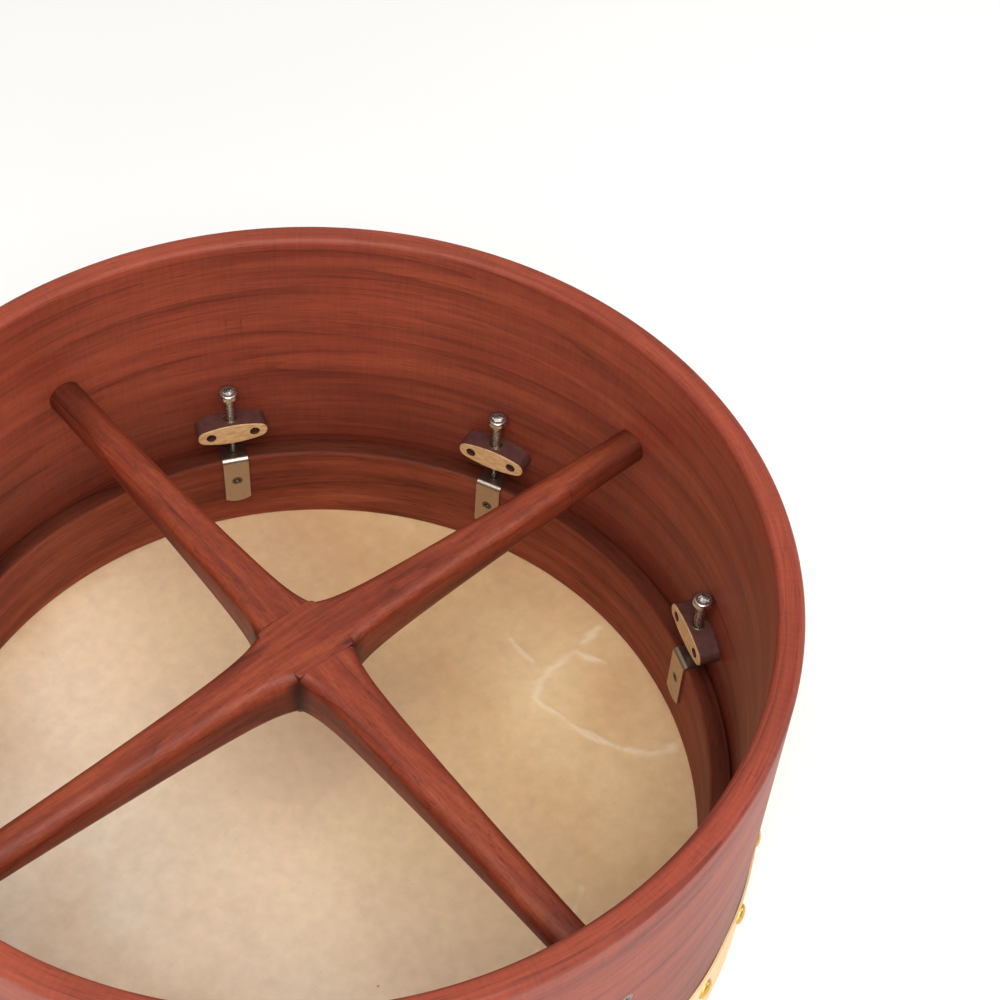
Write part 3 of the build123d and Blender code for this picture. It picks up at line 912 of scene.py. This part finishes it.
# %% Lap and finished skin
tack_count = 32
lap_start = 10 * MM
up_lap = np.clip((points[..., 2] - lap_start) / (lap_top - lap_start), 0, 1)
cut = -1.1 * MM * (1 + np.sin(7 * turns + 1) * np.sin(4 * turns)) / 2
pleat = 0.16 * MM * (1 - np.cos(tack_count * turns)) * (1 + 0.5 * np.sin(5 * turns + 2)) / 2
on_lap = points[..., 2] > lap_start
points[..., 2] += np.where(on_lap, up_lap**2 * cut, 0)
stretch = 1 + np.where(on_lap, up_lap * pleat, 0) / lap_radius
points[..., :2] *= stretch[..., None]
vein_paint = {"vein": raised * 0.5}
head = surface("goatskin_head", points, None, goatskin, attributes=vein_paint)
unroll(head, turns[None] * profile[:, :1], travelled(profile)[:, None] + 0 * turns[None])
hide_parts("head")
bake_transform(head)
print("skin:", len(head.data.polygons), "faces")

# %% [markdown]
# ## The tacks
# Domed upholstery tacks hold the lapped skin. A tack is a small dome lathed round its own pin. The
# same dome is then turned out to each of the thirty-two places, along the directions outwards,
# sideways and up at that place.

# %% Tacks
tack_low, tack_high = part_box("head_tacks")
tack_radius = (tack_high.z - tack_low.z) / 2
tack_height = (tack_high.z + tack_low.z) / 2
tack_seat = lap_radius + skin + 0.02 * MM
dome_height = 2.4 * MM
brim = 0.3 * MM
pin_radius = 0.8 * MM
pin_length = 9 * MM
around = np.linspace(0, 2 * pi, 24, endpoint=False)
rise = np.linspace(0, pi / 2, 7)[:-1]
pin = [
    (pin_radius, -pin_length),
    (pin_radius, -0.6 * MM),
    (tack_radius * 0.8, -0.1 * MM),
    (tack_radius, 0),
]
cap = np.stack([tack_radius * np.cos(rise), brim + (dome_height - brim) * np.sin(rise)], -1)
dome = lathe(np.vstack([pin, cap]), around)
tack_angles = (np.arange(tack_count) + 0.5) * 2 * pi / tack_count
for number, angle in enumerate(tack_angles, start=1):
    outward = np.array([cos(angle), sin(angle), 0])
    sideways = np.array([-sin(angle), cos(angle), 0])
    upward = np.array([0, 0, 1.0])
    centre = outward * tack_seat + upward * tack_height
    placed = centre + dome[..., :1] * sideways + dome[..., 1:2] * upward + dome[..., 2:] * outward
    tack = surface(f"tack_{number}", placed, "shell", brass_tack)
    if number == 1:
        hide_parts("head_tacks")
print("tacks:", len(tack_angles))

# %% [markdown]
# ## The crossbars
# Two bars cross in a half lap: the long one keeps the upper half of the crossing and the other one
# the lower half. Away from the crossing each bar is shaved from a broad rectangle to a round-edged
# bar. A section is a rounded rectangle whose width, thickness and edge radius change along the bar:
# the width swells gently towards the middle and then flares out in an exponential to meet the other
# bar's flare in a smooth fillet.

# %% Crossbar shape
end_width = 15.9 * MM
mid_width = 30 * MM
flare_width = 8 * MM
flare_length = 10 * MM
mid_thickness = bar_high.z - bar_low.z
mid_edge = 5 * MM
end_edge = 7.5 * MM
swell_power = 1.7
half = mid_width / 2


def bar_section(distance):
    """Width, thickness and edge radius at each distance from the drum's axis."""
    along = np.clip((distance - half) / (inner_radius - half), 0, 1)
    swell = (1 - along) ** swell_power
    flare = flare_width * np.exp(-np.clip(distance - half, 0, None) / flare_length)
    width = end_width + (mid_width - flare_width - end_width) * swell + flare
    thickness = end_width + (mid_thickness - end_width) * swell
    edge = mid_edge + (end_edge - mid_edge) * np.sqrt(along)
    return width, thickness, np.minimum(edge, 0.49 * np.minimum(width, thickness))


for distance in (half, 60 * MM, inner_radius):
    width, thickness, edge = (float(size) / MM for size in bar_section(distance))
    print(f"bar at {distance / MM:.0f} mm: {width:.1f} wide, {thickness:.1f} thick, edge {edge:.1f} mm")

# %% [markdown]
# A bar's stations crowd towards the crossing, where its shape changes fastest. In the crossing one
# half of the thickness is cut away, and the points of that half lie in the plane of the lap. At its
# ends the bar is clipped to the hoop's inner wall, so its end is part of a cylinder.

# %% Crossbars
bar_gap = 0.03 * MM
corner_edge = 0.25 * MM


def crossbar(name, angle, keeps, material):
    """Grid of a bar: sections at stations along it, with half of the crossing cut away."""
    arm = half + (inner_radius - half) * np.linspace(0, 1, 70) ** 1.7
    crossing = half * np.array([0.999, 0.98, 0.93, 0.86, 0.78, 0.70, 0.62, 0.45, 0.2])
    stations = np.concatenate([-arm[::-1], -crossing, crossing[::-1], arm])
    kept = np.abs(stations) < half
    width, thickness, edge = bar_section(np.abs(stations))
    # In the crossing the edges square up, following the other bar's rounded shoulders.
    inset = np.clip(np.abs(stations) - (half - mid_edge), 0, mid_edge)
    square = np.maximum(mid_edge - np.sqrt(mid_edge**2 - inset**2), corner_edge)
    edge = np.where(kept, square, edge)
    swing = np.linspace(0, 2 * pi, 64, endpoint=False) + pi / 64
    across = np.sign(np.cos(swing)) * (width / 2 - edge)[:, None] + edge[:, None] * np.cos(swing)
    up = np.sign(np.sin(swing)) * (thickness / 2 - edge)[:, None] + edge[:, None] * np.sin(swing)
    if keeps == "upper":
        up = np.where(kept[:, None] & (up < 0), 0, up)
    else:
        up = np.where(kept[:, None] & (up > 0), 0, up)
    reach = np.sqrt((inner_radius - bar_gap) ** 2 - across**2)
    along = np.clip(stations[:, None] + 0 * across, -reach, reach)
    x = along * cos(angle) - across * sin(angle)
    y = along * sin(angle) + across * cos(angle)
    bar = surface(name, np.stack([x, y, bar_height + up], -1), "shell", material)
    unroll(bar, along, across)
    return bar


long_bar = crossbar("long_crossbar", 0, "upper", long_bar_wood)
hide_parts("crossbar_long")
lapped = crossbar("lapped_crossbar", pi / 2 + bar_skew, "lower", cross_bar_wood)
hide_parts("crossbar_cross")
print("crossbars:", len(long_bar.data.polygons), "and", len(lapped.data.polygons), "faces")

# %% [markdown]
# ## The tuning bolts
# Each bolt is an M5 socket screw with its foot turned down. The thread is real geometry: the radius
# falls and rises once every turn of the helix, and its phase moves round with the angle. A real M5
# thread rises 0.8 mm a turn; this one is drawn at 1.2 mm so that it shows. The knurling on the head
# is two crossed sets of shallow waves. The socket is a hexagon cut into the top: at each angle, a
# hexagon's edge is its inner radius divided by the cosine of the angle from the middle of the
# nearest flat.

# %% Sizes of a bolt
pitch = 1.2 * MM
shank_radius = 2.45 * MM
foot_radius = 1.6 * MM
foot_length = 12 * MM
bolt_length = 39.4 * MM
head_cone = 2.4 * MM
socket_flat = 2.5 * MM
socket_depth = 3.2 * MM
sides = np.linspace(0, 2 * pi, 48, endpoint=False)
flat_angle = (sides % (pi / 3)) - pi / 6
hexagon = socket_flat / np.cos(flat_angle)
foot_chamfer = 0.4 * MM
foot_taper = 0.9 * MM
thread_runout = 1.2 * MM
thread_depth = 0.42 * MM
rim_chamfer = 0.7 * MM
knurl_depth = 0.12 * MM
knurl_count = 12
knurl_lean = 1400
print("a bolt's thread makes", round((bolt_length - foot_length) / pitch), "turns as drawn")

# %% Tuning bolts
def turned_rows(rows):
    """The same radius and height at every side, for each (radius, height) row."""
    return np.array(rows)[:, :, None] + 0 * sides


def bolt_grid(low, high, head_radius):
    """Rows of one bolt from the tip of its foot, up the thread and head, and down into the socket."""
    neck = low + bolt_length
    foot_top = low + foot_length
    plain = turned_rows(
        [(foot_radius - foot_chamfer, low), (foot_radius, low + foot_chamfer), (foot_radius, foot_top)]
    )
    thread = np.arange(foot_top + foot_taper, neck - thread_runout, pitch / 6)
    phase = thread[:, None] / pitch - sides / (2 * pi)
    tooth = np.abs((phase % 1) * 2 - 1)
    screw = np.stack([shank_radius - thread_depth * tooth, thread[:, None] + 0 * sides], 1)
    collar = turned_rows(
        [
            (shank_radius - 0.2 * MM, neck - 0.8 * MM),
            (shank_radius, neck),
            (head_radius - 0.5 * MM, neck + head_cone - 0.2 * MM),
        ]
    )
    rise = np.linspace(neck + head_cone, high - rim_chamfer, 9)[:, None]
    left_waves = np.sin(knurl_count * sides + rise * knurl_lean)
    right_waves = np.sin(knurl_count * sides - rise * knurl_lean)
    knurl = knurl_depth * np.abs(left_waves * right_waves)
    grip = np.stack([head_radius - knurl, rise + 0 * sides], 1)
    top = turned_rows([(head_radius - rim_chamfer, high), (socket_flat * 1.35, high)])
    wall_rows = [(1.03, 0), (1.0, 0.12 * MM), (1.0, socket_depth), (0.55, socket_depth + 0.3 * MM)]
    socket = np.stack([np.stack([hexagon * k, high - d + 0 * sides]) for k, d in wall_rows])
    return np.concatenate([plain, screw, collar, grip, top, socket])


for number in range(1, 9):
    node = f"tuning_bolt_{number}"
    low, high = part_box(node)
    axis = (low + high) / 2
    grid = bolt_grid(low.z, high.z, (high.x - low.x) / 2)
    turned = sides + number * 0.37
    x = axis.x + grid[:, 0] * np.cos(turned)
    y = axis.y + grid[:, 0] * np.sin(turned)
    placed = np.stack([x, y, grid[:, 1]], -1)
    bolt = surface(f"bolt_{number}", placed, node, bolt_steel, sharp=50)
    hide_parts(node)
print("bolts: 8, each with", len(bolt.data.polygons), "faces")

# %% [markdown]
# ## The small fittings
# Lugs, inserts, straps and screws are already the right shape in the frame, down to their screw
# recesses, so they keep their meshes and only get their finishes.

# %% Finishes for the fittings
finishes = {
    "lug_block": lug_wood,
    "lug_insert": brass_insert,
    "lug_screws": zinc_screw,
    "ring_bracket": strap_steel,
    "bracket_screw": zinc_screw,
    "crossbar_screws": zinc_screw,
}
for name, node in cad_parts.items():
    for start, material in finishes.items():
        if name.startswith(start):
            node.data.materials.clear()
            node.data.materials.append(material)
fittings = sum(name.startswith(tuple(finishes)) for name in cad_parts)
print("finished", fittings, "fittings")

# %% [markdown]
# ## Floor and light
# The drum stands on a plain white floor. Turning the bolts in pushes the skin out by 4 mm, which is
# below the floor, so the floor has a shallow round well that the drum covers. A big softbox hangs
# over the open back, smaller ones stand in front and at the side, and a white sky fills the rest, so
# shadows are faint and metal still has something to reflect. The view transform is set to Standard,
# so that a hex colour on the chart is the colour that a fully lit surface shows.

# %% Floor
floor_reach = 8.0
well_radius = (ring_radius + outer_radius) / 2
well_depth = 6 * MM
count = 128
turns = np.linspace(0, 2 * pi, count, endpoint=False)
circles = np.array([(well_radius, -well_depth), (well_radius, 0), (floor_reach, 0)])
here = np.arange(count)
ahead = np.roll(here, -1)
bands = [np.stack([here, here + count, ahead + count, ahead], -1) + row * count for row in (0, 1)]
faces = [here.tolist()] + np.vstack(bands).tolist()
floor_mesh = bpy.data.meshes.new("floor")
floor_mesh.from_pydata(lathe(circles, turns).reshape(-1, 3).tolist(), [], faces)
floor = bpy.data.objects.new("floor", floor_mesh)
bpy.context.scene.collection.objects.link(floor)
floor_paper, tree, shader = new_material("floor_paper", {"Base Color": tone("#F4F3F1"), "Roughness": 0.8})
floor_mesh.materials.append(floor_paper)

print("floor: a well", round(well_depth / MM), "mm deep under the head")

# %% Sky and softboxes
world = bpy.data.worlds.new("studio")
world.use_nodes = True
sky = world.node_tree.nodes["Background"].inputs
sky["Color"].default_value = tone("#FBFAF8")
sky["Strength"].default_value = 0.55
bpy.context.scene.world = world
bpy.context.scene.view_settings.view_transform = "Standard"


def softbox(name, place, target, width, power):
    """A square white area light at place that points at target."""
    light = bpy.data.lights.new(name, "AREA")
    light.size = width
    light.energy = power
    lamp = bpy.data.objects.new(name, light)
    lamp.location = place
    lamp.rotation_mode = "QUATERNION"
    lamp.rotation_quaternion = (Vector(target) - Vector(place)).to_track_quat("-Z", "Y")
    bpy.context.scene.collection.objects.link(lamp)


softbox("overhead_softbox", (-0.55, -0.65, 1.8), (0, 0, 0.05), 1.5, 34)
softbox("front_softbox", (-0.95, -1.25, 0.62), (0, 0, 0.12), 0.9, 8)
softbox("side_softbox", (1.3, -0.9, 1.1), (0, 0, 0.1), 0.9, 9)

# %% [markdown]
# ## Finish
# The view layer is brought up to date.

# %% Finish
bpy.context.view_layer.update()
